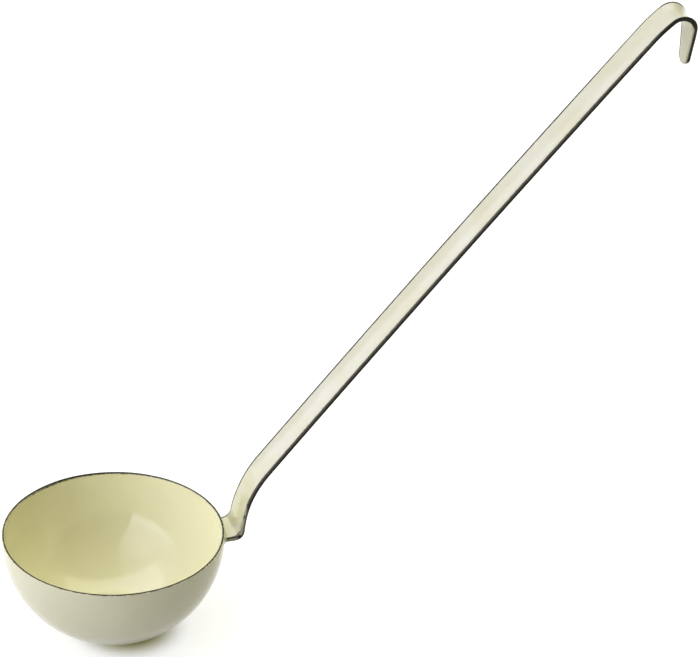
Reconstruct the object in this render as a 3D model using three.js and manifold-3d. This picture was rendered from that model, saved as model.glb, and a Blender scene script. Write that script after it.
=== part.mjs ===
// An enamelled steel ladle, in millimetres: a pressed half-round bowl and a bent strip handle with a hook.
// The origin is the middle of the flat that the bowl stands on, +Z is up, the handle leaves along +X,
// and everything is even about the XZ plane.

import * as THREE from 'three';
import { mergeVertices } from 'three/addons/utils/BufferGeometryUtils.js';
import Module from 'manifold-3d';

const wasm = await Module();
wasm.setup();

// Bowl
const BOWL_RADIUS = 44.75; // outside of the pressed steel, a half sphere below the rim
const BOWL_STEEL = 0.8;
const BASE_FLAT_RADIUS = 15; // flat pressed into the bottom
const BASE_BLEND_RADIUS = 12; // outside radius between the flat and the wall
const BOWL_COAT = 0.22; // enamel on each side of the wall
const RIM_BEAD_HEIGHT = 0.6; // ground coat standing on the cut rim

// Handle strip
const STRIP_WIDTH = 13.5;
const STRIP_THICKNESS = 1.6;
const FACE_COAT_EDGE = 0.2; // cover coat along the edges of a face
const FACE_COAT_CROWN = 0.25; // how much more it swells in the middle of the face
const FOLD_POOL = 0.45; // extra enamel that gathers in the inside corner of the fold
const EDGE_COAT = 0.3; // ground coat round the cut edges

// Route of the strip, from its root at the bowl wall to the tip of the hook. Angles are in degrees above
// the horizontal, looking away from the bowl, and bend radii are those of the steel's inside face.
const LEDGE_DEPTH = 6.1; // half way through the strip, below the cut rim
const LEDGE_LENGTH = 4.1; // straight run from the root to the fold
const FOLD_RADIUS = 2.1;
const UPRIGHT_ANGLE = 84.5;
const SHOULDER_RADIUS = 45.5;
const SHANK_LOW_ANGLE = 49.6;
const SHANK_HIGH_ANGLE = 47.7;
const SHANK_LENGTH = 233.3;
const NECK_RADIUS = 58; // gentle start of the hook
const NECK_ANGLE = 36.8;
const HOOK_RADIUS = 5.1;
const TAIL_ANGLE = -95;
const TAIL_LENGTH = 16.4;
const TAIL_TAPER_LENGTH = 17; // from the full width to the round of the tip
const TIP_RADIUS = 3.7;
const FOLD_FLARE = 0.8; // how much the strip spreads on each side at the fold
const FLARE_LENGTH = 14; // length above the fold in which it comes back to its width
const HOOK_SADDLE = 1.3; // how far the middle of the strip sinks below its edges in the hook
const SADDLE_EASE = 6; // length in which that comes and goes at each end of the hook

// Clearances
const ROOT_GAP = 0.5; // between the end of the strip and the bowl steel, filled by the weld
const BOND_GAP = 0.03; // between a coat or the weld and the steel that it is bonded to
const WINDOW_CLEARANCE = 0.3; // round the root of the strip, where the bowl's outer coat stops
const CUT_REACH = 2; // how far the cut for that window runs out past the wall

// Facets
const BOWL_SIDES = 48;
const BLEND_STEPS = 3;
const WALL_STEPS = 9;
const BEAD_STEPS = 6; // over the half round of the rim bead and of the edge band
const WELD_STEPS = 3;
const STRIP_COLUMNS = [-1, -0.6, -0.2, 0.2, 0.6, 1]; // across the strip, as shares of its half width
const STATIONS_PER_RUN = { ledge: 2, fold: 6, shoulder: 6, shank: 6, neck: 4, hook: 11, tail: 4 };
const TIP_ANGLES = [0, 25, 50, 75]; // degrees round the tip
const MERGE_DISTANCE = 1e-4; // vertices closer than this are one

const CREAM = 0xebe7d3;
const GROUND = 0x393733;
const STEEL = 0x8b8d8f;

// Sizes that follow from the ones above
const BASE_DEPTH = BASE_BLEND_RADIUS
  + Math.sqrt((BOWL_RADIUS - BASE_BLEND_RADIUS) ** 2 - BASE_FLAT_RADIUS ** 2);
const STAND_HEIGHT = BASE_DEPTH + BOND_GAP + BOWL_COAT; // centre of the rim above the flat
const HALF_WIDTH = STRIP_WIDTH / 2;
const HALF_THICKNESS = STRIP_THICKNESS / 2;
const EDGE_HEIGHT = HALF_THICKNESS + FACE_COAT_EDGE; // half the height of the dark edge band
const ROOT_RADIUS = Math.sqrt(BOWL_RADIUS ** 2 - LEDGE_DEPTH ** 2) + ROOT_GAP; // end of the strip, in plan
const radians = THREE.MathUtils.degToRad;

// Materials
const cream = () => new THREE.MeshStandardMaterial({ color: CREAM, roughness: 0.15, metalness: 0 });
const ground = () => new THREE.MeshStandardMaterial({ color: GROUND, roughness: 0.3, metalness: 0 });
const steel = () => new THREE.MeshStandardMaterial({ color: STEEL, roughness: 0.45, metalness: 1 });

// One side of the bowl wall as a half section, from the axis out to the rim. The offset is counted
// outwards from the outside of the steel, and the height from the plane of the cut rim.
function wallProfile(offset) {
  const blendTurn = Math.asin(BASE_FLAT_RADIUS / (BOWL_RADIUS - BASE_BLEND_RADIUS));
  const points = [new THREE.Vector2(0, -BASE_DEPTH - offset)];
  for (let step = 0; step < BLEND_STEPS; step++) {
    const turn = blendTurn * step / BLEND_STEPS;
    const radius = BASE_BLEND_RADIUS + offset;
    points.push(new THREE.Vector2(
      BASE_FLAT_RADIUS + radius * Math.sin(turn),
      BASE_BLEND_RADIUS - BASE_DEPTH - radius * Math.cos(turn),
    ));
  }
  for (let step = 0; step <= WALL_STEPS; step++) {
    const turn = THREE.MathUtils.lerp(blendTurn, Math.PI / 2, step / WALL_STEPS);
    const radius = BOWL_RADIUS + offset;
    points.push(new THREE.Vector2(radius * Math.sin(turn), -radius * Math.cos(turn)));
  }
  points.at(-1).y = 0;
  return points;
}

// A shell of the bowl between two offsets of its wall, turned about the upright axis.
function bowlShell(innerOffset, outerOffset) {
  const profile = [...wallProfile(outerOffset), ...wallProfile(innerOffset).reverse()];
  return new THREE.LatheGeometry(profile, BOWL_SIDES).rotateX(Math.PI / 2);
}

// The bead on the rim: a half round that covers the ends of the steel and of both coats.
function rimBead() {
  const inner = BOWL_RADIUS - BOWL_STEEL - BOND_GAP - BOWL_COAT;
  const outer = BOWL_RADIUS + BOND_GAP + BOWL_COAT;
  const middle = (inner + outer) / 2;
  const profile = [new THREE.Vector2(inner, BOND_GAP)];
  for (let step = 0; step <= BEAD_STEPS; step++) {
    const turn = Math.PI * step / BEAD_STEPS;
    const height = BOND_GAP + (RIM_BEAD_HEIGHT - BOND_GAP) * Math.sin(turn);
    profile.push(new THREE.Vector2(middle + (outer - inner) / 2 * Math.cos(turn), height));
  }
  profile.at(-1).copy(profile[0]);
  return new THREE.LatheGeometry(profile, BOWL_SIDES).rotateX(Math.PI / 2);
}

// The place and heading after some distance along a straight run or an arc in the XZ plane.
function advance(place, run, distance) {
  const heading = place.heading + run.turn * distance / run.length;
  if (run.turn === 0) {
    const x = place.x + distance * Math.cos(heading);
    const z = place.z + distance * Math.sin(heading);
    return { x, z, heading };
  }
  const radius = run.length / run.turn;
  const x = place.x + radius * (Math.sin(heading) - Math.sin(place.heading));
  const z = place.z - radius * (Math.cos(heading) - Math.cos(place.heading));
  return { x, z, heading };
}

const straight = (length) => ({ length, turn: 0 });

// A bend between two headings, whose radius is that of the inside face.
function bend(insideRadius, fromAngle, toAngle) {
  const turn = radians(toAngle - fromAngle);
  return { length: (insideRadius + HALF_THICKNESS) * Math.abs(turn), turn };
}

// The runs of the route, which lies half way through the strip at its edges.
const runs = {
  ledge: straight(LEDGE_LENGTH),
  fold: bend(FOLD_RADIUS, 0, UPRIGHT_ANGLE),
  shoulder: bend(SHOULDER_RADIUS, UPRIGHT_ANGLE, SHANK_LOW_ANGLE),
  shank: { length: SHANK_LENGTH, turn: radians(SHANK_HIGH_ANGLE - SHANK_LOW_ANGLE) },
  neck: bend(NECK_RADIUS, SHANK_HIGH_ANGLE, NECK_ANGLE),
  hook: bend(HOOK_RADIUS, NECK_ANGLE, TAIL_ANGLE),
  tail: straight(TAIL_LENGTH),
};

// The same runs, each with the distance and place where it starts
const legs = [];
let legStart = { x: ROOT_RADIUS, z: -LEDGE_DEPTH, heading: 0 };
let stripLength = 0;
for (const [name, run] of Object.entries(runs)) {
  legs.push({ name, run, from: stripLength, place: legStart });
  legStart = advance(legStart, run, run.length);
  stripLength += run.length;
}
const tipStart = stripLength - TIP_RADIUS;
const taperStart = tipStart - TAIL_TAPER_LENGTH;
const hookEnd = stripLength - TAIL_LENGTH;
const hookStart = hookEnd - runs.hook.length;
const foldEnd = LEDGE_LENGTH + runs.fold.length;

// The root is cut round to lie along the bowl wall, and the ledge evens that out on its way to the fold.
function cope(distance, across) {
  const hollow = ROOT_RADIUS - Math.sqrt(ROOT_RADIUS ** 2 - across ** 2);
  return hollow * Math.max(1 - distance / LEDGE_LENGTH, 0);
}

// The tight bend of the hook leaves the edges of the strip standing proud of its middle.
function saddle(distance, across) {
  const begin = THREE.MathUtils.smoothstep(distance - hookStart, -SADDLE_EASE / 2, SADDLE_EASE / 2);
  const end = THREE.MathUtils.smoothstep(distance - hookEnd, -SADDLE_EASE / 2, SADDLE_EASE / 2);
  return HOOK_SADDLE * (begin - end) * (1 - (across / HALF_WIDTH) ** 2);
}

// A point of the strip from its distance along the route, its place across the width and its height
// above the middle, towards the front face. The front face is the one that shows from above.
function onStrip(distance, across, height) {
  const along = distance - cope(distance, across);
  const leg = legs.findLast((candidate) => candidate.from <= along) ?? legs[0];
  const place = advance(leg.place, leg.run, along - leg.from);
  const lift = height - saddle(distance, across);
  return new THREE.Vector3(
    place.x - lift * Math.sin(place.heading),
    across,
    place.z + lift * Math.cos(place.heading),
  );
}

// Half the width of the steel: spread at the fold, parallel as far as the hook, tapered to a round tip.
function halfWidth(distance) {
  if (distance > tipStart) {
    return Math.sqrt(TIP_RADIUS ** 2 - (distance - tipStart) ** 2);
  }
  const flare = FOLD_FLARE * (1 - THREE.MathUtils.smoothstep(distance - foldEnd, 0, FLARE_LENGTH));
  const share = THREE.MathUtils.clamp((distance - taperStart) / TAIL_TAPER_LENGTH, 0, 1);
  return THREE.MathUtils.lerp(HALF_WIDTH, TIP_RADIUS, share) + flare;
}

// Distances along the strip at which its sections are drawn.
function stripStations() {
  const stations = [];
  for (const leg of legs) {
    const end = Math.min(leg.from + leg.run.length, tipStart);
    const count = STATIONS_PER_RUN[leg.name];
    for (let step = 0; step < count; step++) {
      stations.push(THREE.MathUtils.lerp(leg.from, end, step / count));
    }
  }
  const tip = TIP_ANGLES.map((angle) => tipStart + TIP_RADIUS * Math.sin(radians(angle)));
  return [...stations, ...tip];
}

// A geometry from vertices and flat convex faces, with the faces turned outwards.
function geometryFromFaces(vertices, faces) {
  const triangles = faces.flatMap(([first, ...rest]) => (
    rest.slice(1).map((last, index) => [first, rest[index], last])
  ));
  let volume = 0;
  for (const [a, b, c] of triangles) {
    volume += vertices[a].dot(new THREE.Vector3().crossVectors(vertices[b], vertices[c]));
  }
  const turned = volume < 0 ? triangles.map(([a, b, c]) => [a, c, b]) : triangles;
  const geometry = new THREE.BufferGeometry().setFromPoints(vertices);
  geometry.setIndex(turned.flat());
  geometry.computeVertexNormals();
  return geometry;
}

// A plate between a lower and an upper grid of points with the same rows and columns. Both sides split
// their quads along the same diagonals, so that plates lying on each other stay clear where they are bent.
function plate(lower, upper) {
  const rows = lower.length;
  const columns = lower[0].length;
  const low = (row, column) => row * columns + column;
  const high = (row, column) => rows * columns + low(row, column);
  const faces = [];
  for (let row = 0; row < rows - 1; row++) {
    for (let column = 0; column < columns - 1; column++) {
      const [first, ...others] = [[row, column], [row + 1, column], [row + 1, column + 1], [row, column + 1]];
      faces.push([first, ...others].map(([r, c]) => high(r, c)));
      faces.push([first, ...others.reverse()].map(([r, c]) => low(r, c)));
    }
    const last = columns - 1;
    faces.push([low(row, 0), low(row + 1, 0), high(row + 1, 0), high(row, 0)]);
    faces.push([high(row, last), high(row + 1, last), low(row + 1, last), low(row, last)]);
  }
  for (let column = 0; column < columns - 1; column++) {
    const last = rows - 1;
    faces.push([high(0, column), high(0, column + 1), low(0, column + 1), low(0, column)]);
    faces.push([low(last, column), low(last, column + 1), high(last, column + 1), high(last, column)]);
  }
  return geometryFromFaces([...lower.flat(), ...upper.flat()], faces);
}

// A layer of the strip between two heights, each given by distance and share of the half width.
function stripLayer(lowerHeight, upperHeight) {
  const stations = stripStations();
  const grid = (height) => stations.map((distance) => STRIP_COLUMNS.map((share) => (
    onStrip(distance, share * halfWidth(distance), height(distance, share))
  )));
  return plate(grid(lowerHeight), grid(upperHeight));
}

// Thickness of the cover coat on a face: thin along the edges and at the tip, crowned in between.
function coatThickness(distance, share) {
  const rise = THREE.MathUtils.smoothstep(stripLength - distance, 0, TIP_RADIUS);
  return FACE_COAT_EDGE + FACE_COAT_CROWN * (1 - share ** 2) * rise;
}

// Extra enamel in the inside corner of the fold.
function foldPool(distance) {
  const share = THREE.MathUtils.clamp((distance - LEDGE_LENGTH) / runs.fold.length, 0, 1);
  return FOLD_POOL * Math.sin(Math.PI * share) ** 2;
}

// The dark band on the cut edges: a half-round bead carried along one edge, round the tip and back.
function edgeBand() {
  const stations = stripStations();
  const side = (sign) => stations.map((distance) => new THREE.Vector2(distance, sign * halfWidth(distance)));
  const outline = [...side(-1), ...side(1).reverse()];
  const section = [];
  for (let step = 0; step <= BEAD_STEPS; step++) {
    const turn = Math.PI * step / BEAD_STEPS;
    const offset = BOND_GAP + (EDGE_COAT - BOND_GAP) * Math.sin(turn);
    section.push([offset, EDGE_HEIGHT * Math.cos(turn)]);
  }
  const outward = (from, to) => new THREE.Vector2(to.y - from.y, from.x - to.x).normalize();
  const normals = outline.slice(1).map((point, index) => outward(outline[index], point));
  const vertices = outline.flatMap((point, index) => {
    const before = normals[Math.max(index - 1, 0)];
    const after = normals[Math.min(index, normals.length - 1)];
    const mitre = before.clone().add(after).divideScalar(1 + before.dot(after));
    return section.map(([offset, height]) => (
      onStrip(point.x + mitre.x * offset, point.y + mitre.y * offset, height)
    ));
  });
  const corners = section.map((_, corner) => corner);
  const lastRing = (outline.length - 1) * section.length;
  const faces = [corners.toReversed(), corners.map((corner) => lastRing + corner)];
  for (let ring = 0; ring < lastRing; ring += section.length) {
    for (const corner of corners) {
      const next = (corner + 1) % section.length;
      faces.push([
        ring + corner, ring + next, ring + section.length + next, ring + section.length + corner,
      ]);
    }
  }
  return geometryFromFaces(vertices, faces);
}

// The weld: a seam as wide as the strip between its root and the bowl steel.
function weldSeam() {
  const wallRadius = BOWL_RADIUS + BOND_GAP;
  const heights = [];
  for (let step = 0; step <= WELD_STEPS; step++) {
    heights.push(THREE.MathUtils.lerp(-EDGE_HEIGHT, EDGE_HEIGHT, step / WELD_STEPS));
  }
  const grid = (plan) => heights.map((height) => STRIP_COLUMNS.map((share) => {
    const z = height - LEDGE_DEPTH;
    const y = share * halfWidth(0);
    return new THREE.Vector3(plan(y, z), y, z);
  }));
  const onWall = (y, z) => Math.sqrt(wallRadius ** 2 - y ** 2 - z ** 2);
  const onRoot = (y) => Math.sqrt(ROOT_RADIUS ** 2 - y ** 2) - BOND_GAP;
  return plate(grid(onWall), grid(onRoot));
}

// A closed geometry as a solid for cutting, with shared vertices merged and slivers on the axis dropped.
function solidFrom(geometry) {
  const bare = geometry.clone();
  bare.deleteAttribute('normal');
  bare.deleteAttribute('uv');
  const merged = mergeVertices(bare, MERGE_DISTANCE);
  const index = merged.index.array;
  const triangles = [];
  for (let corner = 0; corner < index.length; corner += 3) {
    const [a, b, c] = index.slice(corner, corner + 3);
    if (a !== b && b !== c && c !== a) {
      triangles.push(a, b, c);
    }
  }
  const vertProperties = new Float32Array(merged.attributes.position.array);
  return new wasm.Manifold(new wasm.Mesh({ numProp: 3, vertProperties, triVerts: new Uint32Array(triangles) }));
}

function geometryFromSolid(solid) {
  const mesh = solid.getMesh();
  const geometry = new THREE.BufferGeometry();
  geometry.setAttribute('position', new THREE.BufferAttribute(mesh.vertProperties, 3));
  geometry.setIndex(new THREE.BufferAttribute(mesh.triVerts, 1));
  geometry.computeVertexNormals();
  return geometry;
}

// The bowl's outer coat, with a window where the root of the strip is welded to bare steel.
function outerCoat() {
  const coat = bowlShell(BOND_GAP, BOND_GAP + BOWL_COAT);
  const length = BOWL_RADIUS + CUT_REACH;
  const width = 2 * (halfWidth(0) + EDGE_COAT + WINDOW_CLEARANCE);
  const height = 2 * (EDGE_HEIGHT + FACE_COAT_CROWN + WINDOW_CLEARANCE);
  const cutter = new THREE.BoxGeometry(length, width, height).translate(length / 2, 0, -LEDGE_DEPTH);
  return geometryFromSolid(solidFrom(coat).subtract(solidFrom(cutter)));
}

function piece(name, geometry, material) {
  const mesh = new THREE.Mesh(geometry, material);
  mesh.name = name;
  return mesh;
}

// Bowl: steel, its two coats and the bead on the rim
function makeBowl() {
  const bowl = new THREE.Group();
  const inside = -BOWL_STEEL - BOND_GAP;
  bowl.add(
    piece('bowl_steel', bowlShell(-BOWL_STEEL, 0), steel()),
    piece('bowl_inner_enamel', bowlShell(inside - BOWL_COAT, inside), cream()),
    piece('bowl_outer_enamel', outerCoat(), cream()),
    piece('bowl_rim_enamel', rimBead(), ground()),
  );
  return bowl;
}

// Handle: the bent strip, its weld, a coat on each face and the band round its edges
function makeHandle() {
  const handle = new THREE.Group();
  const strip = stripLayer(() => -HALF_THICKNESS, () => HALF_THICKNESS);
  const front = stripLayer(
    () => HALF_THICKNESS + BOND_GAP,
    (distance, share) => HALF_THICKNESS + coatThickness(distance, share) + foldPool(distance),
  );
  const back = stripLayer(
    (distance, share) => -HALF_THICKNESS - coatThickness(distance, share),
    () => -HALF_THICKNESS - BOND_GAP,
  );
  handle.add(
    piece('handle_steel', strip, steel()),
    piece('handle_weld', weldSeam(), steel()),
    piece('handle_front_enamel', front, cream()),
    piece('handle_back_enamel', back, cream()),
    piece('handle_edge_enamel', edgeBand(), ground()),
  );
  return handle;
}

const group = new THREE.Group();
group.position.z = STAND_HEIGHT;
group.add(makeBowl(), makeHandle());

export default group;
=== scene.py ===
# An enamelled steel ladle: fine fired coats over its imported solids, on a pale floor in soft studio light.
# Sizes are in millimetres and angles in degrees unless a name or a comment says otherwise.

import math
from collections import namedtuple

import bmesh
import bpy
import numpy as np
from mathutils import Matrix, Vector, noise


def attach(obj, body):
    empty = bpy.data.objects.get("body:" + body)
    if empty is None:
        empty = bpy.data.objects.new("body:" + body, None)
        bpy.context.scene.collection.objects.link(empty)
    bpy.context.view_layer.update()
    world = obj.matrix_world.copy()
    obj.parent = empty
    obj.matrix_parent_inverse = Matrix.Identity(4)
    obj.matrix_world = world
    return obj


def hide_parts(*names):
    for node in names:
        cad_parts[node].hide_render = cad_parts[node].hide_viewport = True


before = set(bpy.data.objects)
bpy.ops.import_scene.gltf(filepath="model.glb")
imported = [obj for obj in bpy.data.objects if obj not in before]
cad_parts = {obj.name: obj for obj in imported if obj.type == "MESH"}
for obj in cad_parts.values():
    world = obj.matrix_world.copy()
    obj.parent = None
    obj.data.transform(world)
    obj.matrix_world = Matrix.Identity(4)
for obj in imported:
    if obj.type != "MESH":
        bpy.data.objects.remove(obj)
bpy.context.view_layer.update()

MM = 0.001

# Bowl, as the solids have it
BOWL_RADIUS = 44.75
BOWL_STEEL = 0.8
BASE_FLAT_RADIUS = 15
BASE_BLEND_RADIUS = 12
BOWL_COAT = 0.22
RIM_BEAD_HEIGHT = 0.6
BOND_GAP = 0.03

# Handle strip, as the solids have it
STRIP_WIDTH = 13.5
STRIP_THICKNESS = 1.6
FACE_COAT_EDGE = 0.2
FACE_COAT_CROWN = 0.25
EDGE_COAT = 0.3
LEDGE_DEPTH = 6.1
LEDGE_LENGTH = 4.1
FOLD_RADIUS = 2.1
UPRIGHT_ANGLE = 84.5
SHOULDER_RADIUS = 45.5
SHANK_LOW_ANGLE = 49.6
SHANK_HIGH_ANGLE = 47.7
SHANK_LENGTH = 233.3
NECK_RADIUS = 58
NECK_ANGLE = 36.8
HOOK_RADIUS = 5.1
TAIL_ANGLE = -95
TAIL_LENGTH = 16.4
TAIL_TAPER_LENGTH = 17
TIP_RADIUS = 3.7
FOLD_FLARE = 0.8
FLARE_LENGTH = 14
HOOK_SADDLE = 1.3
SADDLE_EASE = 6
ROOT_GAP = 0.5

# Unevenness that only the looks have
COAT_RIPPLE = 0.025  # height of the long waves in a fired coat
RIPPLE_LENGTH = 9
RIM_EASE = 2  # depth below the rim over which the bowl's unevenness sets in
BASE_EASE = (0.5, 5)  # heights above the flat between which it sets in
BEAD_WOBBLE = 0.12  # share by which the height of the rim bead comes and goes
BEAD_WOBBLE_LENGTH = 7
MENISCUS_HEIGHT = 1.1  # enamel drawn up where the ledge meets the bowl
MENISCUS_REACH = 1.8
FOLD_FILLET = 4.5  # radius to which gathered enamel rounds out the fold
ARRIS_DROP = 0.12  # by which the coat on a face rolls off at the strip's edges
ARRIS_WIDTH = 0.9

# Where cream ends at the rim; headings go round the bowl from the handle towards the far side
COVER_AT_RIM = 0.12  # by which the bowl's cream would reach past the coat's upper edge
INSIDE_BARE = (0.4, 114, 18)  # border left bare inside, below the rim: width, heading and spread
# Stretches of the bead that are barer than the rest, or less bare: share, heading and spread
BEAD_BARE = [(0.8, 95, 42), (0.87, -95, 52), (-0.15, -20, 30), (-0.35, 160, 25)]
BEAD_CREAM_OUTSIDE = (0.33, 0.2)  # share of the bead's round that cream covers, at bare shares of 0 and 1
BEAD_CREAM_INSIDE = (0.25, 0)

# Where cream ends on the strip's faces
FAR_EDGE_BARE = 1.1  # border left bare along the edge away from the camera
FAR_EDGE_NARROW = 0.5  # share of that border left at the start of the hook
FAR_EDGE_EASE = 60  # length before the hook over which it narrows
FAR_EDGE_RETURN = (4, 9)  # distances into the hook between which it widens again

# Cream on the strip's edges, in shares of their height; where it is below 0 the ground coat is bare
EDGE_FRONT = 0.02  # from the front face, along the whole strip
EDGE_UPRIGHT = 0.56  # added above the fold
EDGE_UPRIGHT_END = (8, 13)  # distances past the fold between which that ends
EDGE_BACK = (-0.6, 0.3)  # from the back face, before and along the tail
EDGE_BACK_EASE = 8
EDGE_LEDGE = (-1, 0.26)  # half the height of a stripe, beyond and along the ledge
EDGE_LEDGE_MIDDLE = 0.56
EDGE_SPOT_DEPTH = 2
EDGE_DARKER = 2  # by which bare edges darken faster, and their painted highlight narrows, on the ledge and from the hook on
EDGE_DARKER_EASE = 12

# Tint of the front coat about the fold, from enamel that collects there and from painted shade: shares of a
# colour, and distances past the fold where it ends
TINT_EASE = 1  # length before the fold over which it begins
TINT_CLOSE = 0.12
TINT_CLOSE_END = (1, 10)
TINT_SPREAD = 0.58
TINT_SPREAD_END = (0, 28)
NEAR_BRIGHT = 1.1  # of the painted light colour, at the near end of the fold
NEAR_BRIGHT_END = (0, 5)
NEAR_BRIGHT_SIDE = (-0.1, 0.7)  # shares of the half width towards the near edge between which it begins

# Steps of the meshes
STEPS_PER_RUN = {"ledge": 10, "fold": 24, "shoulder": 40, "shank": 170, "neck": 16, "hook": 56, "tail": 28}
TIP_STEPS = 18
TIP_TURN = 84  # round the tip, from its start to the last row
FACE_COLUMNS = 27
BAND_STEPS = 18
BEAD_COLUMNS = 360
BEAD_STEPS = 24
POLE_RING = 1  # radius of the smallest ring of the bowl
FLAT_ROWS = 6
BLEND_ROWS = 9
WALL_ROWS = (34, 42, 6)  # below, about and above the root of the ledge
CLOSE_TURN = 6  # to each side of the root, where rows lie closer
CLOSE_AZIMUTH = 14
CLOSE_COLUMNS = 84
OTHER_COLUMNS = 190
SHARP_ANGLE = 35

# Colours; the creams differ from surface to surface to match the photograph in this light
# So their differences are partly painted light and shade
INSIDE_CREAMS = (0.83, 0.80, 0.51, 1), (0.81, 0.775, 0.475, 1)
OUTSIDE_CREAMS = (0.77, 0.75, 0.51, 1), (0.75, 0.725, 0.48, 1)
FRONT_CREAMS = (0.625, 0.605, 0.44, 1), (0.585, 0.555, 0.355, 1)
BACK_CREAMS = (0.66, 0.65, 0.45, 1), (0.64, 0.625, 0.42, 1)
POOL_AND_SHADE_COLOUR = (0.52, 0.505, 0.175, 1)  # cream where enamel collects, darkened as painted shade in the fold
PAINTED_LIGHT_CREAM = (0.87, 0.85, 0.56, 1)  # painted light: a brighter cream on the ledge and at the near end of the fold
GROUND_COLOUR = (0.018, 0.016, 0.008, 1)
THIN_COLOUR = (0.21, 0.195, 0.11, 1)  # ground coat beside the cream
RIM_THIN_COLOUR = (0.20, 0.18, 0.07, 1)
# Thin cream on the edges' ground coat, together with a painted highlight beside the cream
EDGE_THIN_AND_HIGHLIGHT_COLOUR = (0.17, 0.163, 0.135, 1)
STEEL_DARK = (0.20, 0.205, 0.21, 1)
STEEL_LIGHT = (0.32, 0.325, 0.33, 1)
WHITE = (1, 1, 1, 1)

# Surfaces; the scales of patterns are per metre
BORDER_WAVES = [(620, 2, 0.5), (2600, 1, 0.3)]  # scale, detail and size of the cream's ragged border
COVER_EASE = (-0.06, 0.16)  # cover between which the cream sets in
COAT_FADE = 0.14  # width over which the ground coat goes from its thin colour to its own
RIM_FADE = 0.3
# Wide on the edges, where the fade is a painted highlight
EDGE_FADE = 1.3
COAT_GLOSS = 0.5  # specular level
RIM_GLOSS = 0.25
EDGE_GLOSS = 0.1
ENAMEL_IOR = 1.55
GROUND_ROUGHNESS = 0.27
COVER_ROUGHNESS = 0.09
# Strength of the tint of collected enamel, partly painted shade in the fold
POOL_AND_SHADE_STRENGTH = 0.8
MOTTLE_SCALE = 45
MOTTLE_DETAIL = 3
MOTTLE_RANGE = (0.3, 0.7)
PINHOLE_SCALE = 130
PINHOLE_RADII = (0.012, 0.03)  # in shares of their spacing
PINHOLE_DARKNESS = 0.55
PEEL_SCALE = 260
PEEL_DETAIL = 2
PEEL_HEIGHT = 0.035
COVER_STEP = 0.05  # from the ground coat up to the cream
STREAK_SCALES = (40, 900, 900)
STREAK_DETAIL = 3
STREAK_RANGE = (0.2, 0.8)
STEEL_ROUGHNESS = (0.35, 0.55)

# Floor, in metres
FLOOR_SIZE = 40
FLOOR_COLOUR = (0.42, 0.415, 0.34, 1)
FLOOR_WARM = (0.42, 0.40, 0.12, 1)  # painted warm shade, in a patch round the bowl's flat, that warms the contact shadow
# Colour of the glow about that patch, a painted warm shade too
GLOW_WARM = (1, 0.96, 0.5, 1)
GLOW_NEAR = 0  # of the floor by itself, in a patch there: a painted shadow that deepens the contact shadow
GLOW_FAR = 0.78  # everywhere else
# Middle of the patch, and distances from it over which the painted shadow and the painted warm shade fade
# out
GLOW_CENTRE = (0.004, -0.008, 0)
GLOW_REACH = (0.008, 0.026)
WARM_REACH = (0.009, 0.021)

# Light; headings count from straight away from the camera, positive to its right
LEFT_TINT = (0.97, 0.985, 1.2, 1)  # of light from the left of the camera
RIGHT_TINT = (1, 0.98, 0.75, 1)
TINT_REACH = 0.5  # sine of the heading at which a tint is full
LEFT_LIGHT = 0.8
LOW_LIGHT = 1.15  # added to the left panel near the floor
LOW_HEIGHTS = (0.25, 0.45)  # sines of the elevations between which it ends
KEY_LIGHT = 1.2  # added to the left panel round the middle of the key
KEY_HEADING = -148
KEY_ELEVATION = 20
KEY_EDGE = (0.75, 0.97)  # cosines of the angles from its middle between which it fades
BACK_LIGHT = 0.66
TOP_LIGHT = 1.65  # added to the back panel overhead
TOP_HEIGHTS = (0.58, 0.75)
DIM_LIGHT = 0.03  # of the room outside the panels
HORIZON_LIGHT = 0.2
HORIZON_HEIGHTS = (0.03, 0.09)
PANEL_SOFTNESS = 0.03
# Edges of the panels, as planes through the object with normals (right, away, up) into the panel
LEFT_PANEL_SIDES = [(-1, 0, -0.1), (-1, 0.39, 0.3), (-0.63, -0.78, 0)]
BACK_PANEL_SIDES = [(-0.27, 1, 0.11)]

# Camera, at the photograph's viewing angle
VIEW_HEADING = 17.647  # round the upright axis, from looking along +Y towards +X
VIEW_PITCH = 30.892  # below the horizontal
VIEW_ROLL = 1.487
FOCAL_PIXELS = 3972.1
FRAME_PIXELS = 700
SENSOR_WIDTH = 36
CAMERA_PLACE = (-314.33, -1295.49, 936.0)

# Sizes that follow from the ones above, with angles in radians
HALF_WIDTH = STRIP_WIDTH / 2
HALF_THICKNESS = STRIP_THICKNESS / 2
EDGE_HEIGHT = HALF_THICKNESS + FACE_COAT_EDGE
BASE_DEPTH = BASE_BLEND_RADIUS + math.sqrt((BOWL_RADIUS - BASE_BLEND_RADIUS) ** 2 - BASE_FLAT_RADIUS ** 2)
STAND_HEIGHT = BASE_DEPTH + BOND_GAP + BOWL_COAT
ROOT_RADIUS = math.sqrt(BOWL_RADIUS ** 2 - LEDGE_DEPTH ** 2) + ROOT_GAP
BLEND_TURN = math.asin(BASE_FLAT_RADIUS / (BOWL_RADIUS - BASE_BLEND_RADIUS))
LEDGE_TURN = math.acos(LEDGE_DEPTH / BOWL_RADIUS)  # where the ledge meets the wall
HALF_FOLD = math.radians(UPRIGHT_ANGLE) / 2


def smoothstep(value, low, high):
    share = np.clip((value - low) / (high - low), 0, 1)
    return share * share * (3 - 2 * share)


def lerp(start, end, share):
    return start + (end - start) * share


def ripple(x, y, z):
    """Long shallow waves of a fired coat, in millimetres."""
    return COAT_RIPPLE * noise.noise(Vector((x, y, z)) / RIPPLE_LENGTH)


# Meshes

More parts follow.
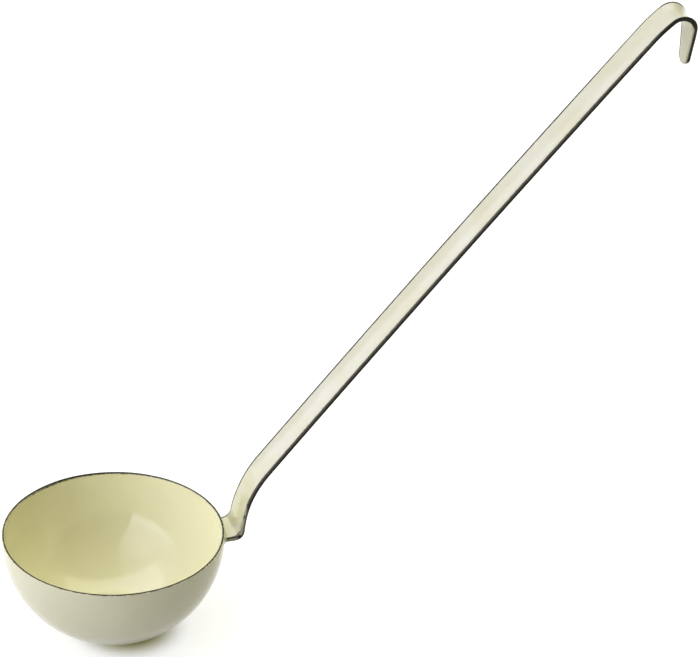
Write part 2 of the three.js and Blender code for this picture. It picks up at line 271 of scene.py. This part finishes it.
def grid_faces(rows, columns, start=0, flip=False, wrap=False):
    """Quads over a grid of vertices, numbered row by row; wrap joins the last column to the first."""
    row = np.arange(rows - 1)[:, None]
    column = np.arange(columns if wrap else columns - 1)[None, :]
    after = (column + 1) % columns
    corners = [row * columns + column, (row + 1) * columns + column]
    corners += [(row + 1) * columns + after, row * columns + after]
    quads = np.stack(corners, -1).reshape(-1, 4) + start
    return quads[:, ::-1] if flip else quads


def face_outwards(mesh):
    """Turns the faces of a closed mesh to point out."""
    work = bmesh.new()
    work.from_mesh(mesh)
    bmesh.ops.recalc_face_normals(work, faces=work.faces)
    work.to_mesh(mesh)
    work.free()


def add_piece(name, points, faces, attributes, node, material):
    """A mesh piece that stands for a CAD node. Points are in millimetres, from the centre of the rim."""
    points = np.asarray(points, float).reshape(-1, 3)
    placed = (points + (0, 0, STAND_HEIGHT)) * MM
    mesh = bpy.data.meshes.new(name)
    mesh.from_pydata(placed.tolist(), [], [list(map(int, face)) for face in faces])
    face_outwards(mesh)
    mesh.polygons.foreach_set("use_smooth", [True] * len(mesh.polygons))
    mesh.set_sharp_from_angle(angle=math.radians(SHARP_ANGLE))
    for label, values in attributes.items():
        layer = mesh.attributes.new(label, "FLOAT", "POINT")
        layer.data.foreach_set("value", np.asarray(values, np.float32).ravel())
    mesh.materials.append(material)
    piece = bpy.data.objects.new(name, mesh)
    bpy.context.scene.collection.objects.link(piece)
    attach(piece, "root")
    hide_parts(node)


# Route of the strip: a chain of straight runs and arcs in the XZ plane

def bend(inside_radius, from_angle, to_angle):
    """Length and turn of an arc with a given radius on the inside of the strip."""
    turn = math.radians(to_angle - from_angle)
    return (inside_radius + HALF_THICKNESS) * abs(turn), turn


def advance(x, z, heading, length, turn, distance):
    """Place and heading after some distance along a run."""
    ahead = heading + turn * distance / length
    if turn == 0:
        return x + distance * math.cos(ahead), z + distance * math.sin(ahead), ahead
    radius = length / turn
    x += radius * (math.sin(ahead) - math.sin(heading))
    z -= radius * (math.cos(ahead) - math.cos(heading))
    return x, z, ahead


RUNS = {
    "ledge": (LEDGE_LENGTH, 0),
    "fold": bend(FOLD_RADIUS, 0, UPRIGHT_ANGLE),
    "shoulder": bend(SHOULDER_RADIUS, UPRIGHT_ANGLE, SHANK_LOW_ANGLE),
    "shank": (SHANK_LENGTH, math.radians(SHANK_HIGH_ANGLE - SHANK_LOW_ANGLE)),
    "neck": bend(NECK_RADIUS, SHANK_HIGH_ANGLE, NECK_ANGLE),
    "hook": bend(HOOK_RADIUS, NECK_ANGLE, TAIL_ANGLE),
    "tail": (TAIL_LENGTH, 0),
}
Leg = namedtuple("Leg", "name begins start length turn")
LEGS = []
leg_begins = 0
leg_start = (ROOT_RADIUS, -LEDGE_DEPTH, 0)
for run_name, (run_length, run_turn) in RUNS.items():
    LEGS.append(Leg(run_name, leg_begins, leg_start, run_length, run_turn))
    leg_start = advance(*leg_start, run_length, run_turn, run_length)
    leg_begins += run_length
STRIP_LENGTH = leg_begins
TIP_START = STRIP_LENGTH - TIP_RADIUS
TAPER_START = TIP_START - TAIL_TAPER_LENGTH
HOOK_END = STRIP_LENGTH - TAIL_LENGTH
HOOK_START = HOOK_END - RUNS["hook"][0]
FOLD_END = LEDGE_LENGTH + RUNS["fold"][0]
FOLD_MIDDLE = (LEDGE_LENGTH + FOLD_END) / 2


def cope(distance, across):
    """How far the root is cut back to lie along the bowl wall."""
    hollow = ROOT_RADIUS - math.sqrt(ROOT_RADIUS ** 2 - across ** 2)
    return hollow * max(1 - distance / LEDGE_LENGTH, 0)


def saddle(distance, across):
    """How far the middle of the strip sinks below its edges in the hook."""
    begin = smoothstep(distance - HOOK_START, -SADDLE_EASE / 2, SADDLE_EASE / 2)
    end = smoothstep(distance - HOOK_END, -SADDLE_EASE / 2, SADDLE_EASE / 2)
    return HOOK_SADDLE * (begin - end) * (1 - (across / HALF_WIDTH) ** 2)


def on_strip(distance, across, height):
    """The point at a distance along the strip, across it, and at a height over its middle layer."""
    along = distance - cope(distance, across)
    leg = [leg for leg in LEGS if leg.begins <= max(along, 0)][-1]
    x, z, heading = advance(*leg.start, leg.length, leg.turn, along - leg.begins)
    lift = height - saddle(distance, across)
    return x - lift * math.sin(heading), across, z + lift * math.cos(heading)


def half_width(distance):
    if distance > TIP_START:
        return math.sqrt(max(TIP_RADIUS ** 2 - (distance - TIP_START) ** 2, 0))
    flare = FOLD_FLARE * (1 - smoothstep(distance - FOLD_END, 0, FLARE_LENGTH))
    share = np.clip((distance - TAPER_START) / TAIL_TAPER_LENGTH, 0, 1)
    return lerp(HALF_WIDTH, TIP_RADIUS, share) + flare


def strip_stations():
    """Distances along the strip at which its coats have a row of vertices."""
    stations = []
    for leg in LEGS:
        end = min(leg.begins + leg.length, TIP_START)
        steps = STEPS_PER_RUN[leg.name]
        stations += [lerp(leg.begins, end, step / steps) for step in range(steps)]
    tip_turns = [math.radians(TIP_TURN) * step / TIP_STEPS for step in range(TIP_STEPS + 1)]
    return stations + [TIP_START + TIP_RADIUS * math.sin(turn) for turn in tip_turns]


STATIONS = strip_stations()


# Bowl

def wall_turns():
    """Turns from straight down to rows of the round wall, closer about the root of the ledge."""
    close = math.radians(CLOSE_TURN)
    ends = [BLEND_TURN, LEDGE_TURN - close, LEDGE_TURN + close, math.pi / 2]
    runs = zip(ends, ends[1:], WALL_ROWS)
    return np.concatenate([np.linspace(low, high, rows)[1:] for low, high, rows in runs])


def bowl_azimuths():
    close = math.radians(CLOSE_AZIMUTH)
    by_handle = np.linspace(-close, close, CLOSE_COLUMNS)[:-1]
    return np.concatenate([by_handle, np.linspace(close, 2 * math.pi - close, OTHER_COLUMNS)[:-1]])


WALL_TURNS = wall_turns()
AZIMUTHS = bowl_azimuths()


def wall_profile(offset):
    """Half section of the wall from the axis to the rim, at an offset outwards from the steel's outside."""
    flat_radii = np.linspace(POLE_RING, BASE_FLAT_RADIUS, FLAT_ROWS)
    points = [(radius, -BASE_DEPTH - offset) for radius in flat_radii]
    blend_radius = BASE_BLEND_RADIUS + offset
    for turn in np.linspace(0, BLEND_TURN, BLEND_ROWS)[1:]:
        across = BASE_FLAT_RADIUS + blend_radius * math.sin(turn)
        points.append((across, BASE_BLEND_RADIUS - BASE_DEPTH - blend_radius * math.cos(turn)))
    wall_radius = BOWL_RADIUS + offset
    points += [(wall_radius * math.sin(turn), -wall_radius * math.cos(turn)) for turn in WALL_TURNS]
    return np.array(points)


def turned_grid(rings):
    """Points round the upright axis, a row for each ring, given as a radius and a height."""
    radius = rings[:, 0][:, None] * np.ones_like(AZIMUTHS)
    height = rings[:, 1][:, None] * np.ones_like(AZIMUTHS)
    return np.stack([radius * np.cos(AZIMUTHS), radius * np.sin(AZIMUTHS), height], -1)


def closed_shell(points):
    """Vertices and faces of a turned grid, with its first and its last ring each closed by a pole."""
    poles = np.array([points[0].mean(0), points[-1].mean(0)])
    rows, count = points.shape[:2]
    faces = list(grid_faces(rows, count, wrap=True))
    last = (rows - 1) * count
    first_pole = rows * count
    for column in range(count):
        after = (column + 1) % count
        faces.append((first_pole, column, after))
        faces.append((first_pole + 1, last + after, last + column))
    return np.concatenate([points.reshape(-1, 3), poles]), faces


def with_poles(values):
    """Values on the rings of a closed shell, with those of its two poles added."""
    return np.concatenate([values.ravel(), [values[0].mean(), values[-1].mean()]])


def round_bump(azimuth, size, centre, spread):
    """A size at a heading round the rim, fading to 0 on both sides of it."""
    away = (azimuth - math.radians(centre) + math.pi) % (2 * math.pi) - math.pi
    return size * np.exp(-(away / math.radians(spread)) ** 2)


def meniscus(point):
    """Height of the enamel drawn up round the root of the ledge."""
    if point[0] < 0:
        return 0
    aside = max(abs(point[1]) - half_width(0) - EDGE_COAT, 0)
    above = max(abs(point[2] + LEDGE_DEPTH) - EDGE_HEIGHT - FACE_COAT_CROWN, 0)
    share = max(1 - math.hypot(aside, above) / MENISCUS_REACH, 0)
    return MENISCUS_HEIGHT * share ** 2


def bowl_coat(name, inner_offset, outer_offset, outward, node, material):
    """A cream coat between two offsets from the outside of the steel, seen from outside or from inside."""
    outer = wall_profile(outer_offset)
    rings = np.concatenate([outer, wall_profile(inner_offset)[::-1]])
    points = turned_grid(rings)
    seen = points[:len(outer)] if outward else points[len(outer):]
    for point in seen.reshape(-1, 3):
        normal = point / np.linalg.norm(point)
        lift = ripple(*point) + meniscus(point) if outward else -ripple(*point)
        above_base = smoothstep(point[2] + BASE_DEPTH, *BASE_EASE)
        point += normal * lift * smoothstep(-point[2], 0, RIM_EASE) * above_base
    points, faces = closed_shell(points)
    bare = np.zeros_like(AZIMUTHS) if outward else round_bump(AZIMUTHS, *INSIDE_BARE)
    cover = with_poles(-rings[:, 1][:, None] + COVER_AT_RIM - bare[None, :])
    attributes = {"cover": cover, "pool_shade_and_light": np.zeros(len(points))}
    add_piece(name, points, faces, attributes, node, material)


def rim_bead(name, node, material):
    """The bead of ground coat on the rim, with cream that runs onto it from both sides."""
    inner = BOWL_RADIUS - BOWL_STEEL - BOND_GAP - BOWL_COAT
    outer = BOWL_RADIUS + BOND_GAP + BOWL_COAT
    azimuths = np.linspace(0, 2 * math.pi, BEAD_COLUMNS + 1)[:-1]
    turns = np.linspace(0, math.pi, BEAD_STEPS + 1)
    points = np.zeros((len(turns), len(azimuths), 3))
    for column, azimuth in enumerate(azimuths):
        heading = Vector((math.cos(azimuth), math.sin(azimuth), 0))
        wobble = 1 + BEAD_WOBBLE * noise.noise(heading * outer / BEAD_WOBBLE_LENGTH)
        for row, turn in enumerate(turns):
            radius = (inner + outer) / 2 + (outer - inner) / 2 * math.cos(turn)
            height = BOND_GAP + (RIM_BEAD_HEIGHT - BOND_GAP) * math.sin(turn) * wobble
            points[row, column] = (radius * heading.x, radius * heading.y, height)
    count = len(azimuths)
    faces = list(grid_faces(len(turns), count, wrap=True))
    last = (len(turns) - 1) * count
    for column in range(count):
        after = (column + 1) % count
        faces.append((column, after, last + after, last + column))
    girth = math.pi / 2 * (RIM_BEAD_HEIGHT + (outer - inner) / 2)
    share = (turns / math.pi)[:, None]
    bare = sum(round_bump(azimuths, *bump) for bump in BEAD_BARE)
    from_outside = lerp(*BEAD_CREAM_OUTSIDE, bare) - share
    from_inside = lerp(*BEAD_CREAM_INSIDE, bare) - (1 - share)
    cover = girth * np.maximum(from_outside, from_inside)
    attributes = {"cover": cover, "pool_shade_and_light": np.zeros(cover.size)}
    add_piece(name, points, faces, attributes, node, material)


# Handle; shares across the strip run from -1 at the edge near the camera to 1 at the far edge

ACROSS_SHARES = np.sin(np.linspace(-math.pi / 2, math.pi / 2, FACE_COLUMNS))
# Spots near the fold that the cream on the edges leaves bare: distance, share of the height, and half sizes
BARE_SPOTS = [(FOLD_MIDDLE, 0.25, 0.9, 0.22), (FOLD_END + 7, 0.3, 1.3, 0.14)]


def coat_thickness(distance, share):
    """Thickness of the coat on a face, at a share across the strip."""
    rise = smoothstep(STRIP_LENGTH - distance, 0, TIP_RADIUS)
    from_edge = min((1 - abs(share)) * half_width(distance) / ARRIS_WIDTH, 1)
    return FACE_COAT_EDGE + FACE_COAT_CROWN * (1 - share ** 2) * rise - ARRIS_DROP * (1 - from_edge) ** 2


def fold_fill(distance, coat):
    """Height of the enamel that rounds out the fold over its own coat."""
    tight = FOLD_RADIUS - coat
    from_middle = abs(distance - FOLD_MIDDLE)
    beyond = from_middle - (FOLD_END - LEDGE_LENGTH) / 2
    if beyond > 0:
        inside = max((FOLD_FILLET - tight) * math.tan(HALF_FOLD) - beyond, 0)
        return FOLD_FILLET - math.sqrt(FOLD_FILLET ** 2 - inside ** 2)
    turn = from_middle / (FOLD_RADIUS + HALF_THICKNESS)
    apart = (FOLD_FILLET - tight) / math.cos(HALF_FOLD)
    return tight + apart * math.cos(turn) - math.sqrt(FOLD_FILLET ** 2 - (apart * math.sin(turn)) ** 2)


def pool_shade_and_light_tint(distance, share):
    """Share of a warmer colour, from the fold up and thinning over the shoulder: enamel that collects, and
    painted shade in the fold.

    It is below 0 on the ledge and at the near end of the fold, where it gives a painted light that
    brightens the coat.
    """
    past_fold = distance - FOLD_END
    begins = LEDGE_LENGTH - TINT_EASE
    tint = TINT_CLOSE * (1 - smoothstep(past_fold, *TINT_CLOSE_END))
    tint += TINT_SPREAD * (1 - smoothstep(past_fold, *TINT_SPREAD_END))
    in_fold = smoothstep(distance, begins, FOLD_MIDDLE)
    near_end = (in_fold - smoothstep(past_fold, *NEAR_BRIGHT_END)) * smoothstep(-share, *NEAR_BRIGHT_SIDE)
    bright = 1 - in_fold + NEAR_BRIGHT * near_end
    return smoothstep(distance, begins, FOLD_END) * tint - bright


def far_edge_bare(distance):
    """Width of the border that cream leaves bare along the far edge."""
    into_hook = distance - HOOK_START
    narrow = smoothstep(into_hook, -FAR_EDGE_EASE, 0) - smoothstep(into_hook, *FAR_EDGE_RETURN)
    return FAR_EDGE_BARE * lerp(1, FAR_EDGE_NARROW, narrow)


def face_coat(name, side, node, material):
    """The cream coat on one face of the strip: side is 1 for the front and -1 for the back."""
    bonded, seen, cover, pool_shade_and_light = [], [], [], []
    for distance in STATIONS:
        width = half_width(distance)
        far_edge = far_edge_bare(distance)
        for share in ACROSS_SHARES:
            across = share * width
            coat = coat_thickness(distance, share)
            top = HALF_THICKNESS + coat + (fold_fill(distance, coat) if side > 0 else 0)
            wave = ripple(*on_strip(distance, across, side * top)) * (1 - share ** 2)
            bonded.append(on_strip(distance, across, side * (HALF_THICKNESS + BOND_GAP)))
            seen.append(on_strip(distance, across, side * (top + wave)))
            far_bare = far_edge * smoothstep(share, 0, 1)
            cover.append(min((1 - abs(share)) * width, STRIP_LENGTH - distance) - far_bare)
            pool_shade_and_light.append(pool_shade_and_light_tint(distance, share) if side > 0 else 0)
    rows, columns = len(STATIONS), len(ACROSS_SHARES)
    count = rows * columns
    faces = list(grid_faces(rows, columns)) + list(grid_faces(rows, columns, count, flip=True))
    outline = [row * columns for row in range(rows)]
    outline += [(rows - 1) * columns + column for column in range(1, columns)]
    outline += [row * columns + columns - 1 for row in range(rows - 2, -1, -1)]
    outline += list(range(columns - 2, 0, -1))
    for here, there in zip(outline, outline[1:] + outline[:1]):
        faces.append((there, here, here + count, there + count))
    attributes = {"cover": cover + cover, "pool_shade_and_light": pool_shade_and_light + pool_shade_and_light}
    add_piece(name, bonded + seen, faces, attributes, node, material)


def edge_cream(distance, share):
    """How deep a place on the edge band lies inside the cream that runs onto it; below 0 it is bare.

    Share is 0 at the front face and 1 at the back.
    """
    in_fold = smoothstep(distance, LEDGE_LENGTH, FOLD_END)
    upright = in_fold - smoothstep(distance - FOLD_END, *EDGE_UPRIGHT_END)
    ledge = 1 - in_fold
    hooked = smoothstep(distance - HOOK_START, -EDGE_DARKER_EASE, 0)
    tail = smoothstep(distance - HOOK_END, -EDGE_BACK_EASE, 0)
    from_front = EDGE_FRONT + EDGE_UPRIGHT * upright - share
    from_back = lerp(*EDGE_BACK, tail) - (1 - share)
    stripe = lerp(*EDGE_LEDGE, ledge) - abs(share - EDGE_LEDGE_MIDDLE)
    depth = 2 * EDGE_HEIGHT * max(from_front, from_back, stripe)
    for middle, height, half_length, half_height in BARE_SPOTS:
        away = math.hypot((distance - middle) / half_length, (share - height) / half_height)
        depth -= EDGE_SPOT_DEPTH * max(1 - away, 0)
    # Below 0 the edges fade from their thin colour, a painted highlight, which narrows on the ledge and
    # from the hook on
    return depth if depth > 0 else depth * (1 + EDGE_DARKER * max(ledge, hooked))


def edge_band(name, node, material):
    """The band of ground coat along both edges of the strip and round its tip."""
    sides = {sign: [(distance, sign * half_width(distance)) for distance in STATIONS] for sign in (-1, 1)}
    outline = np.array(sides[-1] + sides[1][::-1])
    steps = np.diff(outline, axis=0)
    normals = np.stack([steps[:, 1], -steps[:, 0]], -1)
    normals /= np.linalg.norm(normals, axis=1)[:, None]
    before = np.concatenate([normals[:1], normals])
    after = np.concatenate([normals, normals[-1:]])
    mitres = (before + after) / (1 + (before * after).sum(1))[:, None]
    turns = np.linspace(0, math.pi, BAND_STEPS + 1)
    points, cover = [], []
    for place, mitre in zip(outline, mitres):
        for turn in turns:
            offset = BOND_GAP + (EDGE_COAT - BOND_GAP) * math.sin(turn)
            along, across = place + mitre * offset
            points.append(on_strip(along, across, EDGE_HEIGHT * math.cos(turn)))
            cover.append(edge_cream(place[0], (1 - math.cos(turn)) / 2))
    rings, corners = len(outline), len(turns)
    faces = list(grid_faces(rings, corners, wrap=True))
    faces.append(list(range(corners)))
    faces.append(list(range((rings - 1) * corners, rings * corners))[::-1])
    attributes = {"cover": cover, "pool_shade_and_light": np.zeros(len(points))}
    add_piece(name, points, faces, attributes, node, material)


# Materials

def add(tree, kind, inputs, **settings):
    """A shader node with its settings, and with its inputs set or linked."""
    made = tree.nodes.new(kind)
    for key, value in settings.items():
        setattr(made, key, value)
    for key, value in inputs.items():
        if isinstance(value, bpy.types.NodeSocket):
            tree.links.new(value, made.inputs[key])
        else:
            made.inputs[key].default_value = value
    return made


def math_node(tree, operation, *values):
    inputs = dict(enumerate(values))
    return add(tree, "ShaderNodeMath", inputs, operation=operation).outputs[0]


def vector_node(tree, operation, first, second):
    return add(tree, "ShaderNodeVectorMath", {0: first, 1: second}, operation=operation).outputs["Value"]


def ramp(tree, value, low, high, to_low=0, to_high=1):
    """A value eased from one range to another, and held beyond its ends."""
    inputs = {"Value": value, "From Min": low, "From Max": high, "To Min": to_low, "To Max": to_high}
    return add(tree, "ShaderNodeMapRange", inputs, interpolation_type="SMOOTHSTEP").outputs[0]


def mix(tree, factor, first, second):
    """A mix of two colours, which are inputs 6 and 7 of the node, and its output 2 when mixed."""
    return add(tree, "ShaderNodeMix", {0: factor, 6: first, 7: second}, data_type="RGBA").outputs[2]


def noise_node(tree, vector, scale, detail):
    inputs = {"Vector": vector, "Scale": scale, "Detail": detail}
    return add(tree, "ShaderNodeTexNoise", inputs).outputs[0]


def new_material(name):
    material = bpy.data.materials.new(name)
    material.use_nodes = True
    tree = material.node_tree
    return material, tree, tree.nodes["Principled BSDF"]


def enamel(name, creams, thin_and_highlight_colour=THIN_COLOUR, fade=COAT_FADE, gloss=COAT_GLOSS):
    """Glossy cream cover coat, mottled in two creams, over a dark ground coat.

    The ground coat shows, with a ragged border, where the attribute cover is low, in millimetres.
    """
    material, tree, shader = new_material(name)
    place = add(tree, "ShaderNodeTexCoord", {}).outputs["Object"]
    border = add(tree, "ShaderNodeAttribute", {}, attribute_name="cover").outputs["Fac"]
    pool_shade_and_light_value = add(tree, "ShaderNodeAttribute", {}, attribute_name="pool_shade_and_light").outputs["Fac"]
    for scale, detail, size in BORDER_WAVES:
        wave = math_node(tree, "MULTIPLY_ADD", noise_node(tree, place, scale, detail), size, -size / 2)
        border = math_node(tree, "ADD", border, wave)
    full = ramp(tree, border, *COVER_EASE)
    # Beside the cream the ground coat takes the thin colour over the fade; on the edges this is a painted
    # highlight
    ground_colour = mix(tree, ramp(tree, border, -fade, 0), GROUND_COLOUR, thin_and_highlight_colour)
    mottle = noise_node(tree, place, MOTTLE_SCALE, MOTTLE_DETAIL)
    cover_colour = mix(tree, ramp(tree, mottle, *MOTTLE_RANGE), *creams)
    # The warmer tint, where the attribute is above 0: enamel that collects, and painted shade in the fold
    pool_and_shade_share = math_node(tree, "MULTIPLY", pool_shade_and_light_value, POOL_AND_SHADE_STRENGTH)
    cover_colour = mix(tree, pool_and_shade_share, cover_colour, POOL_AND_SHADE_COLOUR)
    # Painted light, where the attribute is below 0: a brighter cream on the ledge and at the near end of
    # the fold
    painted_light_share = math_node(tree, "MULTIPLY", pool_shade_and_light_value, -1)
    cover_colour = mix(tree, painted_light_share, cover_colour, PAINTED_LIGHT_CREAM)
    cells = add(tree, "ShaderNodeTexVoronoi", {"Vector": place, "Scale": PINHOLE_SCALE})
    pinholes = ramp(tree, cells.outputs["Distance"], *PINHOLE_RADII, PINHOLE_DARKNESS, 0)
    cover_colour = mix(tree, pinholes, cover_colour, THIN_COLOUR)
    colour = mix(tree, full, ground_colour, cover_colour)
    tree.links.new(colour, shader.inputs["Base Color"])
    roughness = ramp(tree, full, 0, 1, GROUND_ROUGHNESS, COVER_ROUGHNESS)
    tree.links.new(roughness, shader.inputs["Roughness"])
    shader.inputs["IOR"].default_value = ENAMEL_IOR
    shader.inputs["Specular IOR Level"].default_value = gloss
    peel = math_node(tree, "MULTIPLY", noise_node(tree, place, PEEL_SCALE, PEEL_DETAIL), PEEL_HEIGHT)
    height = math_node(tree, "MULTIPLY_ADD", full, COVER_STEP, peel)
    bump = add(tree, "ShaderNodeBump", {"Height": height, "Strength": 1, "Distance": MM})
    tree.links.new(bump.outputs[0], shader.inputs["Normal"])
    return material


def brushed_steel(name):
    """Bare pressed steel with fine streaks, for the core that the coats hide."""
    material, tree, shader = new_material(name)
    place = add(tree, "ShaderNodeTexCoord", {}).outputs["Object"]
    stretched = add(tree, "ShaderNodeMapping", {"Vector": place, "Scale": STREAK_SCALES}).outputs[0]
    streaks = noise_node(tree, stretched, 1, STREAK_DETAIL)
    tree.links.new(mix(tree, streaks, STEEL_DARK, STEEL_LIGHT), shader.inputs["Base Color"])
    roughness = ramp(tree, streaks, *STREAK_RANGE, *STEEL_ROUGHNESS)
    tree.links.new(roughness, shader.inputs["Roughness"])
    shader.inputs["Metallic"].default_value = 1
    return material


# Floor: a beige plane that keeps the shadow, and glows up to white except in a patch round the bowl's flat,
# which holds a painted shadow and painted warm shade

def make_floor():
    half = FLOOR_SIZE / 2
    mesh = bpy.data.meshes.new("floor")
    corners = [(-half, -half, 0), (half, -half, 0), (half, half, 0), (-half, half, 0)]
    mesh.from_pydata(corners, [], [(0, 1, 2, 3)])
    floor = bpy.data.objects.new("floor", mesh)
    bpy.context.scene.collection.objects.link(floor)
    material, tree, shader = new_material("floor_paper")
    tree.nodes.remove(shader)
    path = add(tree, "ShaderNodeLightPath", {}).outputs
    looked_at = math_node(tree, "MAXIMUM", path["Is Camera Ray"], path["Is Glossy Ray"])
    looked_at = math_node(tree, "MAXIMUM", looked_at, path["Is Transmission Ray"])
    place = add(tree, "ShaderNodeTexCoord", {}).outputs["Object"]
    away = vector_node(tree, "DISTANCE", place, GLOW_CENTRE)
    # Round the bowl's flat the colour turns yellow and the glow fades out: painted warm shade and a painted
    # shadow
    clear = ramp(tree, away, *WARM_REACH)
    paper = add(tree, "ShaderNodeBsdfDiffuse", {"Color": mix(tree, clear, FLOOR_WARM, FLOOR_COLOUR)})
    strength = math_node(tree, "MULTIPLY", looked_at, ramp(tree, away, *GLOW_REACH, GLOW_NEAR, GLOW_FAR))
    glow_colour = mix(tree, clear, GLOW_WARM, WHITE)
    glow = add(tree, "ShaderNodeEmission", {"Color": glow_colour, "Strength": strength})
    both = add(tree, "ShaderNodeAddShader", {0: paper.outputs[0], 1: glow.outputs[0]})
    tree.links.new(both.outputs[0], tree.nodes["Material Output"].inputs["Surface"])
    mesh.materials.append(material)


# Light: a soft tent with a left panel, brightest by the camera, and a back panel, brightest overhead

def heading_vector(heading, elevation):
    """Direction at a heading that counts from straight away from the camera, and at an elevation."""
    heading = math.radians(heading + VIEW_HEADING)
    elevation = math.radians(elevation)
    flat = math.cos(elevation)
    return Vector((flat * math.sin(heading), flat * math.cos(heading), math.sin(elevation)))


RIGHT = heading_vector(90, 0)
AWAY = heading_vector(0, 0)


def towards(tree, direction, target):
    """Cosine of the angle between the direction of a ray and a target direction."""
    return vector_node(tree, "DOT_PRODUCT", direction, target.normalized())


def panel(tree, direction, sides, light):
    """The light of a panel between its sides, and 0 beyond them."""
    for right, away, up in sides:
        normal = RIGHT * right + AWAY * away + Vector((0, 0, up))
        inside = ramp(tree, towards(tree, direction, normal), -PANEL_SOFTNESS, PANEL_SOFTNESS)
        light = math_node(tree, "MULTIPLY", light, inside)
    return light


def make_light():
    world = bpy.data.worlds.new("tent")
    bpy.context.scene.world = world
    world.use_nodes = True
    tree = world.node_tree
    direction = add(tree, "ShaderNodeTexCoord", {}).outputs["Generated"]
    height = add(tree, "ShaderNodeSeparateXYZ", {"Vector": direction}).outputs["Z"]
    key = towards(tree, direction, heading_vector(KEY_HEADING, KEY_ELEVATION))
    left_light = ramp(tree, key, *KEY_EDGE, LEFT_LIGHT, LEFT_LIGHT + KEY_LIGHT)
    left_light = math_node(tree, "ADD", left_light, ramp(tree, height, *LOW_HEIGHTS, LOW_LIGHT, 0))
    left = panel(tree, direction, LEFT_PANEL_SIDES, left_light)
    back_light = ramp(tree, height, *TOP_HEIGHTS, BACK_LIGHT, BACK_LIGHT + TOP_LIGHT)
    back = panel(tree, direction, BACK_PANEL_SIDES, back_light)
    panels = math_node(tree, "MAXIMUM", math_node(tree, "MAXIMUM", left, back), DIM_LIGHT)
    horizon = ramp(tree, height, *HORIZON_HEIGHTS, HORIZON_LIGHT, 0)
    strength = math_node(tree, "MAXIMUM", panels, horizon)
    tree.links.new(strength, tree.nodes["Background"].inputs["Strength"])
    to_right = ramp(tree, towards(tree, direction, RIGHT), -TINT_REACH, TINT_REACH)
    tint = mix(tree, to_right, LEFT_TINT, RIGHT_TINT)
    tree.links.new(tint, tree.nodes["Background"].inputs["Color"])


# Camera

def make_camera():
    forward = heading_vector(0, -VIEW_PITCH)
    up = RIGHT.cross(forward)
    roll = math.radians(VIEW_ROLL)
    rolled_right = RIGHT * math.cos(roll) + up * math.sin(roll)
    rolled_up = up * math.cos(roll) - RIGHT * math.sin(roll)
    lens = bpy.data.cameras.new("camera")
    lens.sensor_fit = "HORIZONTAL"
    lens.sensor_width = SENSOR_WIDTH
    lens.lens = FOCAL_PIXELS * SENSOR_WIDTH / FRAME_PIXELS
    camera = bpy.data.objects.new("camera", lens)
    bpy.context.scene.collection.objects.link(camera)
    turned = Matrix((rolled_right, rolled_up, -forward)).transposed().to_4x4()
    camera.matrix_world = Matrix.Translation(Vector(CAMERA_PLACE) * MM) @ turned
    bpy.context.scene.camera = camera


# The ladle in its studio

inside_enamel = enamel("inside_enamel", INSIDE_CREAMS)
outside_enamel = enamel("outside_enamel", OUTSIDE_CREAMS)
rim_enamel = enamel("rim_enamel", OUTSIDE_CREAMS, RIM_THIN_COLOUR, RIM_FADE, RIM_GLOSS)
front_enamel = enamel("front_enamel", FRONT_CREAMS)
back_enamel = enamel("back_enamel", BACK_CREAMS)
edge_enamel = enamel("edge_enamel", FRONT_CREAMS, EDGE_THIN_AND_HIGHLIGHT_COLOUR, EDGE_FADE, EDGE_GLOSS)
steel_core = brushed_steel("steel_core")

inner_face = -BOWL_STEEL - BOND_GAP
bowl_coat("bowl_inside_coat", inner_face - BOWL_COAT, inner_face, False, "bowl_inner_enamel", inside_enamel)
bowl_coat("bowl_outside_coat", BOND_GAP, BOND_GAP + BOWL_COAT, True, "bowl_outer_enamel", outside_enamel)
rim_bead("rim_bead", "bowl_rim_enamel", rim_enamel)
face_coat("strip_front_coat", 1, "handle_front_enamel", front_enamel)
face_coat("strip_back_coat", -1, "handle_back_enamel", back_enamel)
edge_band("strip_edge_band", "handle_edge_enamel", edge_enamel)
for node in ("bowl_steel", "handle_steel", "handle_weld"):
    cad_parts[node].data.materials.clear()
    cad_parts[node].data.materials.append(steel_core)

make_floor()
make_light()
make_camera()
bpy.context.scene.view_settings.view_transform = "Standard"
